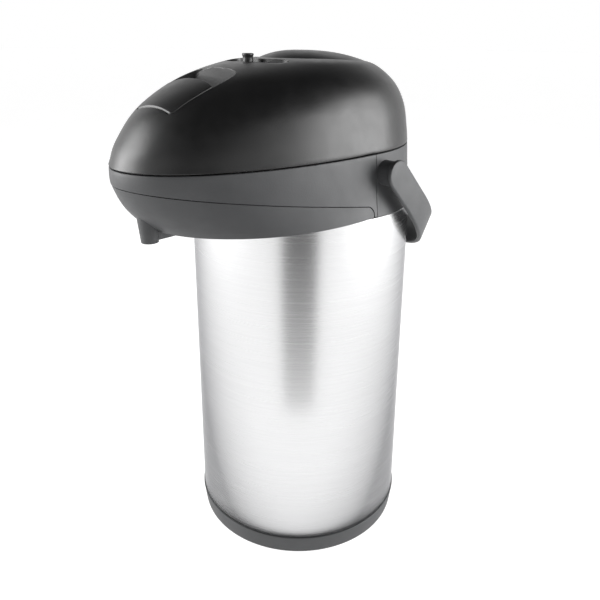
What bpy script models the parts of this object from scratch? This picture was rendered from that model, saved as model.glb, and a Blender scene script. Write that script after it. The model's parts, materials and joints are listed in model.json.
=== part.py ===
"""Five-litre pump airpot: steel vacuum body, overhanging pump head, hinged lid and bail handle.

Metres, +Z up. The origin is on the body's axis, at the underside of the base.
The spout points towards -Y, and the handle and the lid turn about axes along X.
"""
import math

import bmesh
import bpy
from mathutils import Matrix, Vector

MM = 0.001

# Driving dimensions
BODY_RADIUS = 95.0 * MM
COLLAR_FOOT = 306.6 * MM
WALL = 2.6 * MM
GAP = 0.4 * MM

# The lid and the collar meet on a ring that rises towards the rear
SEAM_FRONT = 350.5 * MM
SEAM_REAR = 358.5 * MM
SEAM_HALF_GAP = 0.45 * MM

# Egg-shaped rings of the head: front y, rear y, half width, z at the front, z at the rear
LID_RINGS = [
    (-174.5, 91.0, 91.0, 350.5, 358.5),
    (-167.5, 90.0, 89.8, 367.0, 369.0),
    (-147.0, 87.3, 85.6, 390.0, 388.5),
    (-110.5, 79.0, 76.0, 409.5, 405.0),
    (-66.0, 65.0, 58.5, 421.5, 418.0),
    (-30.0, 50.0, 42.0, 424.5, 422.5),
]
# The same for the collar, with how far each ring follows the level underside of the overhang
COLLAR_RINGS = [
    (-174.5, 91.0, 91.0, 350.5, 358.5, 0.0),
    (-174.0, 91.8, 91.8, 338.0, 345.0, 0.0),
    (-167.0, 92.8, 92.8, 322.5, 331.0, 0.3),
    (-157.5, 93.8, 93.8, 311.0, 319.0, 0.7),
    (-148.0, 95.0, 95.2, 303.2, 306.6, 1.0),
]
DIP_START = 12.0 * MM
DIP_LENGTH = 98.0 * MM
HEAD_SEGMENTS = 40
HEAD_STEPS = 2

# Pump button and the lock around it
BUTTON_Y = 8.5 * MM
BUTTON_RADIUS = 46.2 * MM
BUTTON_HOLE = 46.9 * MM
BUTTON_RIM = 422.0 * MM
BUTTON_TOP = 430.0 * MM
BUTTON_APEX_Y = -4.0 * MM
BUTTON_SKIRT = 11.0 * MM
LOCK_RADIUS = 66.0 * MM
LOCK_SWEEP = math.radians(22.0)
PEG_TOP = 427.6 * MM

# Release lever and the finger well behind it
LEVER_PIN_Y = -135.0 * MM
LEVER_PIN_Z = 388.6 * MM
LEVER_PIN_RADIUS = 1.5 * MM

# Lid hinge
HINGE_Y = 97.6 * MM
HINGE_Z = 356.5 * MM
KNUCKLE_RADIUS = 4.3 * MM
HINGE_PIN_RADIUS = 1.5 * MM

# Bail handle
PIVOT_Y = 2.5 * MM
PIVOT_Z = 340.0 * MM
HANDLE_ANGLE = math.radians(44.0)
HANDLE_BEND = math.radians(24.0)
HANDLE_INNER = 102.3 * MM
HANDLE_THICK = 4.0 * MM
HANDLE_WIDTH = 23.0 * MM
HANDLE_GRIP = 28.0 * MM
HANDLE_STRAIGHT = 33.0 * MM
HANDLE_TURN = 96.0 * MM

# Vacuum liner, neck and siphon
PIPE_RADIUS = 4.5 * MM
PIPE_BORE = 3.3 * MM
PIPE_Y = -22.0 * MM
PIPE_Z = 336.0 * MM
PIPE_FALL = 10.0 * MM
NOZZLE_Y = -153.0 * MM
NOZZLE_FOOT = 295.5 * MM

# Bellows under the button
BELLOWS_FOOT = 361.6 * MM
BELLOWS_TOP = 411.0 * MM

# Colour, roughness, metallic
FINISHES = {
    "black_plastic": ((0.020, 0.020, 0.021, 1.0), 0.38, 0.0),
    "charcoal_plastic": ((0.055, 0.057, 0.060, 1.0), 0.55, 0.0),
    "brushed_steel": ((0.62, 0.62, 0.62, 1.0), 0.30, 1.0),
    "liner_steel": ((0.66, 0.66, 0.66, 1.0), 0.22, 1.0),
    "fastener_steel": ((0.50, 0.50, 0.52, 1.0), 0.32, 1.0),
    "white_silicone": ((0.78, 0.77, 0.74, 1.0), 0.60, 0.0),
    "milky_plastic": ((0.70, 0.70, 0.68, 1.0), 0.45, 0.0),
}


def clear_scene():
    for item in list(bpy.data.objects):
        bpy.data.objects.remove(item, do_unlink=True)


def make_collection(name):
    group = bpy.data.collections.new(name)
    bpy.context.scene.collection.children.link(group)
    return group


def make_material(node, finish):
    color, roughness, metallic = FINISHES[finish]
    material = bpy.data.materials.new(node + "_" + finish)
    material.use_nodes = True
    shader = material.node_tree.nodes["Principled BSDF"]
    shader.inputs["Base Color"].default_value = color
    shader.inputs["Roughness"].default_value = roughness
    shader.inputs["Metallic"].default_value = metallic
    return material


def mesh_object(name, bm):
    """A work object; the part or cutter functions below give it its place."""
    bmesh.ops.recalc_face_normals(bm, faces=bm.faces[:])
    mesh = bpy.data.meshes.new(name)
    bm.to_mesh(mesh)
    bm.free()
    item = bpy.data.objects.new(name, mesh)
    bpy.context.scene.collection.objects.link(item)
    return item


def finish_part(item, node, finish, origin=None, smooth_angle=35.0):
    """Names the piece, bakes its modifiers, puts its origin on its joint and shades it."""
    bake(item)
    item.name = node
    item.data.name = node
    if origin is not None:
        item.data.transform(Matrix.Translation(-Vector(origin)))
        item.location = origin
    item.data.shade_smooth()
    item.data.set_sharp_from_angle(angle=math.radians(smooth_angle))
    item.data.materials.clear()
    item.data.materials.append(make_material(node, finish))
    bpy.context.scene.collection.objects.unlink(item)
    PARTS.objects.link(item)
    return item


def bake(item):
    """Replaces the mesh with the modified one, in world space."""
    depsgraph = bpy.context.evaluated_depsgraph_get()
    mesh = bpy.data.meshes.new_from_object(item.evaluated_get(depsgraph))
    mesh.transform(item.matrix_world)
    item.modifiers.clear()
    item.data = mesh
    item.matrix_world = Matrix.Identity(4)
    return item


def boolean(item, other, operation, keep_other=False):
    """Cuts, joins or intersects with the EXACT solver."""
    modifier = item.modifiers.new(operation.lower(), "BOOLEAN")
    modifier.operation = operation
    modifier.solver = "EXACT"
    modifier.object = other
    bake(item)
    if not keep_other:
        bpy.data.objects.remove(other, do_unlink=True)
    return item


def cut(item, other, keep_other=False):
    return boolean(item, other, "DIFFERENCE", keep_other)


def join(item, other):
    return boolean(item, other, "UNION")


def common(item, other, keep_other=False):
    return boolean(item, other, "INTERSECT", keep_other)


def copy_of(item):
    twin = item.copy()
    twin.data = item.data.copy()
    bpy.context.scene.collection.objects.link(twin)
    return twin


def box(low, high):
    low, high = Vector(low), Vector(high)
    bm = bmesh.new()
    bmesh.ops.create_cube(bm, size=1.0)
    size = high - low
    bmesh.ops.scale(bm, vec=size, verts=bm.verts[:])
    bmesh.ops.translate(bm, vec=(low + high) / 2, verts=bm.verts[:])
    return mesh_object("box", bm)


def cylinder(start, end, radius, end_radius=None, segments=24):
    start, end = Vector(start), Vector(end)
    axis = end - start
    bm = bmesh.new()
    bmesh.ops.create_cone(bm, cap_ends=True, segments=segments, radius1=radius,
                          radius2=radius if end_radius is None else end_radius, depth=axis.length)
    turn = Vector((0, 0, 1)).rotation_difference(axis.normalized()).to_matrix().to_4x4()
    bmesh.ops.transform(bm, matrix=Matrix.Translation((start + end) / 2) @ turn, verts=bm.verts[:])
    return mesh_object("cylinder", bm)


def turned(profile, segments=48, center_y=0.0):
    """A closed (radius, z) outline in millimetres, turned about Z with a Screw modifier."""
    bm = bmesh.new()
    verts = [bm.verts.new((radius * MM, 0.0, z * MM)) for radius, z in profile]
    for first, second in zip(verts, verts[1:]):
        bm.edges.new((first, second))
    if profile[0][0] > 0.0 or profile[-1][0] > 0.0:
        bm.edges.new((verts[-1], verts[0]))
    mesh = bpy.data.meshes.new("turned")
    bm.to_mesh(mesh)
    bm.free()
    item = bpy.data.objects.new("turned", mesh)
    bpy.context.scene.collection.objects.link(item)
    screw = item.modifiers.new("turn", "SCREW")
    screw.steps = segments
    screw.render_steps = segments
    screw.use_merge_vertices = True
    screw.merge_threshold = 0.00002
    item.location.y = center_y
    bake(item)
    face_out(item)
    return item


def face_out(item):
    bm = bmesh.new()
    bm.from_mesh(item.data)
    bmesh.ops.recalc_face_normals(bm, faces=bm.faces[:])
    bm.to_mesh(item.data)
    bm.free()


def flat_outline(points, half_thickness, matrix):
    """A flat outline as a filled 2D curve, thickened both ways, then placed."""
    curve = bpy.data.curves.new("outline", "CURVE")
    curve.dimensions = "2D"
    curve.fill_mode = "BOTH"
    curve.extrude = half_thickness
    spline = curve.splines.new("POLY")
    spline.points.add(len(points) - 1)
    for point, (u, v) in zip(spline.points, points):
        point.co = (u, v, 0.0, 1.0)
    spline.use_cyclic_u = True
    guide = bpy.data.objects.new("outline", curve)
    bpy.context.scene.collection.objects.link(guide)
    guide.matrix_world = matrix
    return curve_to_mesh(guide)


def curve_to_mesh(guide):
    depsgraph = bpy.context.evaluated_depsgraph_get()
    depsgraph.update()
    mesh = bpy.data.meshes.new_from_object(guide.evaluated_get(depsgraph))
    mesh.transform(guide.matrix_world)
    bm = bmesh.new()
    bm.from_mesh(mesh)
    bmesh.ops.remove_doubles(bm, verts=bm.verts[:], dist=0.00001)
    bpy.data.objects.remove(guide, do_unlink=True)
    return mesh_object("curve", bm)


def side_prism(points, half_width):
    """An outline of (y, z) points in millimetres, thickened along X."""
    placed = Matrix(((0, 0, 1, 0), (1, 0, 0, 0), (0, 1, 0, 0), (0, 0, 0, 1)))
    return flat_outline([(y * MM, z * MM) for y, z in points], half_width, placed)


def plan_prism(points, low, high):
    """An outline of (x, y) points in millimetres, thickened along Z."""
    placed = Matrix.Translation((0, 0, (low + high) / 2))
    return flat_outline([(x * MM, y * MM) for x, y in points], (high - low) / 2, placed)


def tube(points, radius, resolution=3, cyclic=False):
    curve = bpy.data.curves.new("tube", "CURVE")
    curve.dimensions = "3D"
    curve.bevel_depth = radius
    curve.bevel_resolution = resolution
    curve.use_fill_caps = True
    spline = curve.splines.new("POLY")
    spline.points.add(len(points) - 1)
    for point, place in zip(spline.points, points):
        point.co = (*place, 1.0)
    spline.use_cyclic_u = cyclic
    guide = bpy.data.objects.new("tube", curve)
    bpy.context.scene.collection.objects.link(guide)
    return curve_to_mesh(guide)


def dip(y):
    """How far along the overhang a point is: 0 behind the axis, 1 well forward of it."""
    return math.sin(math.pi / 2 * min(1.0, max(0.0, (-y - DIP_START) / DIP_LENGTH)))


def egg_ring(station, inset=0.0, lift=0.0):
    """An egg-shaped ring: half an ellipse in front of the axis, half another behind it."""
    front, rear, half_width, z_front, z_rear = (value * MM for value in station[:5])
    sag = station[5] if len(station) > 5 else 0.0
    points = []
    for index in range(HEAD_SEGMENTS):
        angle = 2 * math.pi * index / HEAD_SEGMENTS
        reach = (rear if math.cos(angle) > 0 else -front) - inset
        x = (half_width - inset) * math.sin(angle)
        y = reach * math.cos(angle)
        along = (y - front) / (rear - front)
        share = (1 - sag) * (1 - along) + sag * dip(y)
        points.append(Vector((x, y, z_rear + (z_front - z_rear) * share + lift)))
    return points


def smooth_stations(stations, steps):
    """Catmull-Rom stations between the design stations."""
    count = len(stations)
    smooth = []
    for index in range(count - 1):
        before = stations[max(index - 1, 0)]
        first, second = stations[index], stations[index + 1]
        after = stations[min(index + 2, count - 1)]
        for step in range(steps):
            t = step / steps
            smooth.append([
                0.5 * (2 * b + (c - a) * t + (2 * a - 5 * b + 4 * c - d) * t * t
                       + (3 * b - a - 3 * c + d) * t ** 3)
                for a, b, c, d in zip(before, first, second, after)])
    smooth.append(list(stations[-1]))
    return smooth


def loft(rings):
    """A closed solid through unlike rings, with a fan cap at each end."""
    bm = bmesh.new()
    rows = [[bm.verts.new(point) for point in ring] for ring in rings]
    count = len(rows[0])
    for lower, upper in zip(rows, rows[1:]):
        for index in range(count):
            following = (index + 1) % count
            bm.faces.new((lower[index], lower[following], upper[following], upper[index]))
    for row in (rows[0], rows[-1]):
        middle = bm.verts.new(sum((vert.co for vert in row), Vector()) / count)
        for index in range(count):
            bm.faces.new((row[index], row[(index + 1) % count], middle))
    return mesh_object("loft", bm)


def lid_solid(inset=0.0, start_lift=0.0):
    """The lid's outer form, or with an inset the hollow inside it."""
    stations = smooth_stations(LID_RINGS, HEAD_STEPS)
    rings = [egg_ring(station, inset, -inset) for station in stations]
    foot = egg_ring(LID_RINGS[0], inset, start_lift)
    return loft([foot] + rings[1:])


def collar_solid(inset=0.0, top_lift=0.0, foot_lift=0.0):
    """The collar's outer form down to its underside, or with an inset the hollow inside it."""
    stations = smooth_stations(COLLAR_RINGS, HEAD_STEPS)
    rings = [egg_ring(station, inset) for station in stations]
    head = egg_ring(COLLAR_RINGS[0], inset, top_lift)
    foot = egg_ring(COLLAR_RINGS[-1], inset, foot_lift)
    last = -2 if inset > 0 else -1
    return loft([head] + rings[1:last] + [foot])


def arc(center, radius, start, end, count):
    """Points on an arc, in millimetres and degrees."""
    points = []
    for index in range(count + 1):
        angle = math.radians(start + (end - start) * index / count)
        points.append((center[0] + radius * math.cos(angle), center[1] + radius * math.sin(angle)))
    return points


def groove(y):
    """Height in millimetres of the line where the chin cover meets the collar band."""
    return 316.0 + 0.14 * (-y - 17.0)


def build_body():
    wall = BODY_RADIUS / MM
    shell = turned([(wall - 1.0, 17.0), (wall, 17.0), (wall, 306.2), (wall - 1.0, 306.2)], 72)
    finish_part(shell, "outer_shell", "brushed_steel")

    base = turned([(0.0, 0.0), (92.4, 0.0), (94.0, 1.6), (95.9, 14.9), (95.9, 16.5), (93.6, 16.5),
                   (93.6, 24.0), (91.2, 24.0), (91.2, 4.0), (66.0, 4.0), (66.0, 12.0), (63.0, 12.0),
                   (63.0, 4.0), (0.0, 4.0)], 48)
    for turn in range(3):
        x, y = screw_place(turn)
        cut(base, cylinder((x, y, -MM), (x, y, 6 * MM), 1.9 * MM, segments=16))
        cut(base, cylinder((x, y, -MM), (x, y, 1.8 * MM), 4.2 * MM, segments=20))
    finish_part(base, "base_cap", "charcoal_plastic")

    for turn in range(3):
        x, y = screw_place(turn)
        screw = cylinder((x, y, 0.4 * MM), (x, y, 1.5 * MM), 3.8 * MM, segments=20)
        join(screw, cylinder((x, y, 1.2 * MM), (x, y, 10.0 * MM), 1.5 * MM, segments=12))
        finish_part(screw, "base_screw_%d" % (turn + 1), "fastener_steel")

    cradle = turned([(30.0, 12.4), (62.0, 12.4), (62.0, 18.0), (70.0, 24.0), (70.0, 27.6),
                     (58.0, 24.6), (30.0, 24.6)], 36)
    for turn in range(3):
        x, y = screw_place(turn)
        cut(cradle, cylinder((x, y, 11 * MM), (x, y, 20 * MM), 2.2 * MM, segments=12))
    finish_part(cradle, "liner_cradle", "white_silicone")


def screw_place(turn):
    angle = math.radians(90 + 120 * turn)
    return 48 * MM * math.cos(angle), 48 * MM * math.sin(angle)


def vessel(radius, foot, neck, top, wall, lip):
    """A turned bottle wall: dished foot, straight side, round shoulder and open neck."""
    outer = [(0.0, foot)]
    outer += arc((radius - 14, foot + 14), 14, -90, 0, 4)
    outer += arc((radius - 22, 274.0), 22, 0, 60, 4)
    outer += [(neck + 6, 305.0), (neck, 311.0), (neck, top)]
    inner = [(neck - wall, top), (neck - wall, 310.6), (neck + 5.4, 304.3)]
    inner += arc((radius - 22, 274.0), 22 - wall, 60, 0, 4)
    inner += arc((radius - 14, foot + 14), 14 - wall, 0, -90, 4)
    inner += [(0.0, foot + wall)]
    if lip:
        outer = outer[:-1] + [(neck, top - 2.0), (neck + lip, top - 2.0), (neck + lip, top)]
    return outer + inner


def build_liner():
    inner = turned(vessel(84.8, 33.0, 37.8, 326.0, 0.8, 3.4), 24)
    finish_part(inner, "liner_inner_wall", "liner_steel")
    outer = turned(vessel(89.4, 28.0, 40.9, 323.6, 0.8, 0.0), 24)
    finish_part(outer, "liner_outer_wall", "liner_steel")

    deck = turned([(45.0, 319.0), (84.0, 319.0), (88.4, 314.0), (88.4, 300.0), (93.6, 300.0),
                   (93.6, 306.0), (89.9, 306.0), (89.9, 322.0), (45.0, 322.0)], 36)
    finish_part(deck, "shoulder_deck", "black_plastic")
    gasket = turned([(41.5, 320.4), (44.6, 320.4), (44.6, 326.4), (36.6, 328.4), (36.6, 326.4),
                     (41.5, 326.4)], 36)
    finish_part(gasket, "neck_gasket", "white_silicone")


def pipe_route(rise):
    """Up from the vessel's floor, over the deck and down into the nozzle."""
    points = [(0.0, PIPE_Y, 42 * MM), (0.0, PIPE_Y, 180 * MM)]
    bend = 12 * MM
    for step in range(5):
        angle = math.pi / 2 * step / 4
        points.append((0.0, PIPE_Y - bend + bend * math.cos(angle),
                       PIPE_Z - bend + bend * math.sin(angle)))
    for step in range(5):
        angle = math.pi / 2 * step / 4
        points.append((0.0, NOZZLE_Y + bend - bend * math.sin(angle),
                       PIPE_Z - PIPE_FALL - bend + bend * math.cos(angle)))
    points.append((0.0, NOZZLE_Y, 311 * MM - rise))
    points[0] = (0.0, PIPE_Y, 42 * MM - rise)
    return points


def build_siphon():
    pipe = tube(pipe_route(0.0), PIPE_RADIUS, 2)
    cut(pipe, tube(pipe_route(2 * MM), PIPE_BORE, 2))
    finish_part(pipe, "siphon_pipe", "milky_plastic")

    insert = turned([(0.0, 326.5), (34.0, 326.5), (34.0, 310.0), (36.4, 310.0), (36.4, 325.8),
                     (36.0, 328.6), (0.0, 328.9)], 32)
    join(insert, turned([(0.0, 327.6), (20.0, 327.6), (20.0, 331.0), (0.0, 331.0)], 28, BUTTON_Y))
    cut(insert, cylinder((0, BUTTON_Y, 320 * MM), (0, BUTTON_Y, 340 * MM), 9 * MM, segments=20))
    cut(insert, cylinder((0, PIPE_Y, 300 * MM), (0, PIPE_Y, 340 * MM), PIPE_RADIUS + 0.7 * MM))
    cut(insert, box((-5.1 * MM, -60 * MM, 327 * MM), (4.9 * MM, PIPE_Y, 345 * MM)))
    finish_part(insert, "neck_insert", "black_plastic")

    outlet = turned([(3.6, 297.5), (5.2, 297.5), (5.2, 310.4), (3.6, 310.4)], 24, NOZZLE_Y)
    finish_part(outlet, "nozzle_outlet", "black_plastic")


def collar_shell():
    """The whole collar: a thin wall with a floor under the overhang, open over the body."""
    shell = collar_solid(0.0, -SEAM_HALF_GAP)
    hollow = collar_solid(WALL, 6 * MM, WALL)
    cut(shell, hollow)
    for radius, top in ((90.6 * MM, 330 * MM), (BODY_RADIUS + GAP, COLLAR_FOOT)):
        opening = cylinder((0, 0, 270 * MM), (0, 0, top), radius, segments=72)
        opening.data.transform(Matrix.Rotation(math.radians(2.2), 4, "Z"))
        cut(shell, opening)
    return shell


def chin_region(grow):
    """Side outline of the chin cover, with the round corner at its rear end."""
    line = [(y, groove(y) + grow) for y in range(-200, -20, 12)]
    corner = arc((-19.0, groove(-19.0) - 7.6), 7.6 + grow, 90, 0, 5)
    return side_prism(line + corner + [(-11.4 + grow, 280.0), (-200.0, 280.0)], 110 * MM)


def build_collar():
    whole = collar_shell()
    rear_line = -8.0 * MM
    far = 200 * MM

    chin = copy_of(whole)
    common(chin, chin_region(-0.2))
    common(chin, box((-far, -far, 0), (far, rear_line - 0.2 * MM, 2 * far)))
    boss = cylinder((0, NOZZLE_Y, NOZZLE_FOOT), (0, NOZZLE_Y, 316 * MM), 6.4 * MM, 8.6 * MM)
    rib = side_prism([(-152.0, 297.0), (-121.0, 297.6), (-114.0, 304.6), (-152.0, 309.0)], 4.6 * MM)
    join(boss, rib)
    join(chin, boss)
    cut(chin, cylinder((0, NOZZLE_Y, 290 * MM), (0, NOZZLE_Y, 320 * MM), 5.6 * MM))
    finish_part(chin, "chin_cover", "charcoal_plastic")

    band = copy_of(whole)
    cut(band, chin_region(0.2))
    common(band, box((-far, -far, 307 * MM), (far, rear_line - 0.2 * MM, 2 * far)))
    finish_part(band, "collar_band", "charcoal_plastic")

    yoke = copy_of(whole)
    common(yoke, box((-far, rear_line + 0.2 * MM, 0), (far, far, 2 * far)))
    for side in (-1, 1):
        join(yoke, cylinder((side * 90.4 * MM, PIVOT_Y, PIVOT_Z), (side * 101.8 * MM, PIVOT_Y, PIVOT_Z),
                            9.9 * MM, segments=32))
        cut(yoke, cylinder((side * 86 * MM, PIVOT_Y, PIVOT_Z), (side * 104 * MM, PIVOT_Y, PIVOT_Z),
                           5.2 * MM, segments=24))
        near, end = sorted((side * 13.4 * MM, side * 26 * MM))
        join(yoke, knuckle(near, end, -1))
    bore = cylinder((-30 * MM, HINGE_Y, HINGE_Z), (30 * MM, HINGE_Y, HINGE_Z),
                    HINGE_PIN_RADIUS + 0.35 * MM, segments=16)
    cut(yoke, bore)
    finish_part(yoke, "rear_yoke", "charcoal_plastic")
    bpy.data.objects.remove(whole, do_unlink=True)

    for side, word in ((-1, "left"), (1, "right")):
        pin = cylinder((side * 87 * MM, PIVOT_Y, PIVOT_Z), (side * 104.6 * MM, PIVOT_Y, PIVOT_Z),
                       4.9 * MM, segments=24)
        join(pin, cylinder((side * 85.5 * MM, PIVOT_Y, PIVOT_Z), (side * 88.2 * MM, PIVOT_Y, PIVOT_Z),
                           7.5 * MM, segments=24))
        finish_part(pin, "handle_pin_" + word, "fastener_steel")

    pin = cylinder((-25.6 * MM, HINGE_Y, HINGE_Z), (25.6 * MM, HINGE_Y, HINGE_Z),
                   HINGE_PIN_RADIUS, segments=16)
    finish_part(pin, "hinge_pin", "fastener_steel")

    strike = side_prism([(-171.4, 349.0), (-171.4, 341.0), (-163.5, 345.6), (-156.0, 345.6),
                         (-156.0, 349.0)], 9 * MM)
    common(strike, collar_solid(WALL + 0.3 * MM, 6 * MM, WALL))
    finish_part(strike, "latch_strike", "fastener_steel")


def knuckle(low, high, level):
    """A hinge knuckle with a web to the wall below (level -1) or above (level 1) the seam."""
    barrel = cylinder((low, HINGE_Y, HINGE_Z), (high, HINGE_Y, HINGE_Z), KNUCKLE_RADIUS, segments=24)
    if level < 0:
        web = box((low, 89.6 * MM, 349.5 * MM), (high, HINGE_Y, 356.6 * MM))
    else:
        web = box((low, 88.4 * MM, 359.3 * MM), (high, HINGE_Y, HINGE_Z + KNUCKLE_RADIUS))
    return join(barrel, web)


def well_plan(grow):
    """Plan outline of the lever and the finger well behind it, in millimetres."""
    right = [(23.4 + grow, -144.6 - grow), (26.6 + grow, -124.0), (28.4 + grow, -108.0),
             (28.0 + grow, -99.0), (25.0 + grow, -93.0), (19.0 + grow, -90.0 + grow * 0.8),
             (9.0, -88.8 + grow)]
    return right + [(-x, y) for x, y in reversed(right)]


def well_floor(drop):
    """Side outline of everything above the well's floor, in millimetres."""
    return [(-150.0, 378.0 - drop), (-141.0, 378.5 - drop), (-130.0, 383.5 - drop), (-112.0, 394.5 - drop),
            (-101.0, 400.5 - drop), (-94.0, 407.0 - drop), (-88.0, 416.0 - drop), (-80.0, 440.0),
            (-150.0, 440.0)]


def lock_slot(width, sweep):
    """Plan outline of a round-ended slot on the lock's circle, in millimetres."""
    radius = LOCK_RADIUS / MM
    center = (0.0, BUTTON_Y / MM)
    half = width / 2
    low, high = -90 - math.degrees(sweep), -90 + math.degrees(sweep)
    outline = arc(center, radius + half, low, high, 12)
    end = arc(center, radius, high, high, 1)[0]
    outline += arc(end, half, high, high + 180, 6)[1:-1]
    outline += arc(center, radius - half, high, low, 12)
    start = arc(center, radius, low, low, 1)[0]
    outline += arc(start, half, low + 180, low + 360, 6)[1:-1]
    return outline


LID_BOSSES = [(-62.0, -52.0), (62.0, -52.0), (-60.0, 44.0), (60.0, 44.0)]


def build_lid():
    shell = lid_solid(0.0, SEAM_HALF_GAP)
    cut(shell, lid_solid(WALL, -6 * MM))

    middle = lid_solid(WALL / 2, SEAM_HALF_GAP)
    tray = plan_prism(well_plan(2.4), 350 * MM, 440 * MM)
    common(tray, side_prism(well_floor(2.4), 40 * MM))
    common(tray, middle, keep_other=True)
    join(shell, tray)
    for x, y in LID_BOSSES:
        boss = cylinder((x * MM, y * MM, 361.5 * MM), (x * MM, y * MM, 425 * MM), 4.2 * MM, segments=16)
        common(boss, middle, keep_other=True)
        cut(boss, cylinder((x * MM, y * MM, 350 * MM), (x * MM, y * MM, 374 * MM), 1.8 * MM,
                           segments=12))
        join(shell, boss)
    bpy.data.objects.remove(middle, do_unlink=True)
    join(shell, knuckle(-13 * MM, 13 * MM, 1))

    pocket = plan_prism(well_plan(0.0), 350 * MM, 440 * MM)
    common(pocket, side_prism(well_floor(0.0), 40 * MM))
    cut(shell, pocket)
    cut(shell, box((-6.6 * MM, -141.0 * MM, 370 * MM), (6.6 * MM, -126 * MM, 391 * MM)))
    cut(shell, box((-6.6 * MM, -149.0 * MM, 364 * MM), (6.6 * MM, -130 * MM, 381 * MM)))
    cut(shell, cylinder((-26 * MM, LEVER_PIN_Y, LEVER_PIN_Z), (26 * MM, LEVER_PIN_Y, LEVER_PIN_Z),
                        LEVER_PIN_RADIUS + 0.3 * MM, segments=12))
    cut(shell, cylinder((0, BUTTON_Y, 380 * MM), (0, BUTTON_Y, 440 * MM), BUTTON_HOLE, segments=64))
    cut(shell, plan_prism(lock_slot(9.6, LOCK_SWEEP + 0.012), 410 * MM, 440 * MM))
    cut(shell, cylinder((-20 * MM, HINGE_Y, HINGE_Z), (20 * MM, HINGE_Y, HINGE_Z),
                        HINGE_PIN_RADIUS + 0.35 * MM, segments=16))
    hinge = (0.0, HINGE_Y, HINGE_Z)
    finish_part(shell, "lid_shell", "black_plastic", hinge)

    plate = loft([egg_ring(LID_RINGS[0], WALL + 2.4 * MM, 1.0 * MM),
                  egg_ring(LID_RINGS[0], WALL + 3.8 * MM, 3.0 * MM)])
    cut(plate, box((-7.5 * MM, -163 * MM, 340 * MM), (7.5 * MM, -128 * MM, 365 * MM)))
    cut(plate, cylinder((0, BUTTON_Y, 340 * MM), (0, BUTTON_Y, 365 * MM), 6 * MM))
    for x, y in LID_BOSSES:
        cut(plate, cylinder((x * MM, y * MM, 340 * MM), (x * MM, y * MM, 370 * MM), 1.9 * MM,
                            segments=12))
    finish_part(plate, "lid_plate", "black_plastic", hinge)

    for number, (x, y) in enumerate(LID_BOSSES, start=1):
        under = (SEAM_REAR + (SEAM_FRONT - SEAM_REAR) * (95.5 - y) / 270.0) + 0.6 * MM
        screw = cylinder((x * MM, y * MM, under - 1.6 * MM), (x * MM, y * MM, under), 3.4 * MM,
                         segments=16)
        join(screw, cylinder((x * MM, y * MM, under - 0.6 * MM), (x * MM, y * MM, under + 13 * MM),
                             1.5 * MM, segments=10))
        finish_part(screw, "lid_screw_%d" % number, "fastener_steel", hinge)

    seal = turned([(6.0, 332.6), (7.6, 331.5), (17.0, 331.5), (17.0, 334.0), (11.0, 338.0),
                   (11.0, 354.6), (6.0, 354.6)], 32, BUTTON_Y)
    finish_part(seal, "air_seal", "white_silicone", hinge)


def build_bellows():
    hinge = (0.0, HINGE_Y, HINGE_Z)
    folds = 5
    foot, top = BELLOWS_FOOT / MM, BELLOWS_TOP / MM
    pitch = (top - foot - 4.0) / folds
    outside, inside = [(30.0, foot), (30.0, foot + 2.0)], [(28.0, foot), (28.0, foot + 2.0)]
    for fold in range(folds):
        level = foot + 2.0 + pitch * fold
        outside += [(36.0, level + pitch / 2), (30.0, level + pitch)]
        inside += [(34.0, level + pitch / 2), (28.0, level + pitch)]
    outside.append((30.0, top))
    inside.append((28.0, top))
    bellows = turned(outside + inside[::-1], 24, BUTTON_Y)
    finish_part(bellows, "bellows", "white_silicone", hinge)

    turns, per_turn = 6, 10
    coil = []
    for step in range(turns * per_turn + 1):
        angle = 2 * math.pi * step / per_turn
        rise = step / (turns * per_turn)
        coil.append((14 * MM * math.cos(angle), BUTTON_Y + 14 * MM * math.sin(angle),
                     BELLOWS_FOOT + 1.2 * MM + rise * (BELLOWS_TOP - BELLOWS_FOOT - 2.4 * MM)))
    finish_part(tube(coil, 0.9 * MM, 2), "bellows_spring", "fastener_steel", hinge)


def build_button():
    rings = []
    segments = 40
    rim, top = BUTTON_RIM, BUTTON_TOP
    levels = [(1.0, rim - BUTTON_SKIRT), (1.0, rim - 0.6 * MM), (0.985, rim)]
    for step in range(1, 7):
        angle = math.radians(80) * step / 6
        levels.append((0.985 * math.cos(angle), rim + (top - rim) * math.sin(angle)))
    for scale, z in levels:
        shift = max(0.0, 1 - scale / 0.985) * (BUTTON_APEX_Y - BUTTON_Y)
        radius = BUTTON_RADIUS * scale
        rings.append([Vector((radius * math.sin(2 * math.pi * k / segments),
                              BUTTON_Y + shift + radius * math.cos(2 * math.pi * k / segments), z))
                      for k in range(segments)])
    button = loft(rings)
    cut(button, turned([(0.0, 405.0), (43.6, 405.0), (43.6, 419.4), (34.0, 423.0), (0.0, 426.0)],
                       48, BUTTON_Y))
    join(button, turned([(20.0, 411.4), (31.0, 411.4), (31.0, 426.0), (20.0, 426.0)], 32, BUTTON_Y))
    finish_part(button, "pump_button", "black_plastic", (0.0, BUTTON_Y, BUTTON_RIM))


def build_lock():
    plate = plan_prism(lock_slot(13.0, math.radians(18)), 413.4 * MM, 415.4 * MM)
    peg_y = BUTTON_Y - LOCK_RADIUS
    join(plate, cylinder((0, peg_y, 414.5 * MM), (0, peg_y, 424.0 * MM), 4.2 * MM, 3.9 * MM))
    join(plate, cylinder((0, peg_y, 423.6 * MM), (0, peg_y, PEG_TOP), 3.9 * MM, 4.5 * MM))
    finish_part(plate, "lock_slider", "black_plastic", (0.0, BUTTON_Y, 414.4 * MM))


def lever_plan():
    return [(22.7, -144.0), (25.9, -124.0), (27.5, -112.5), (18.0, -110.2), (9.0, -109.5), (-9.0, -109.5),
            (-18.0, -110.2), (-27.5, -112.5), (-25.9, -124.0), (-22.7, -144.0)]


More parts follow.
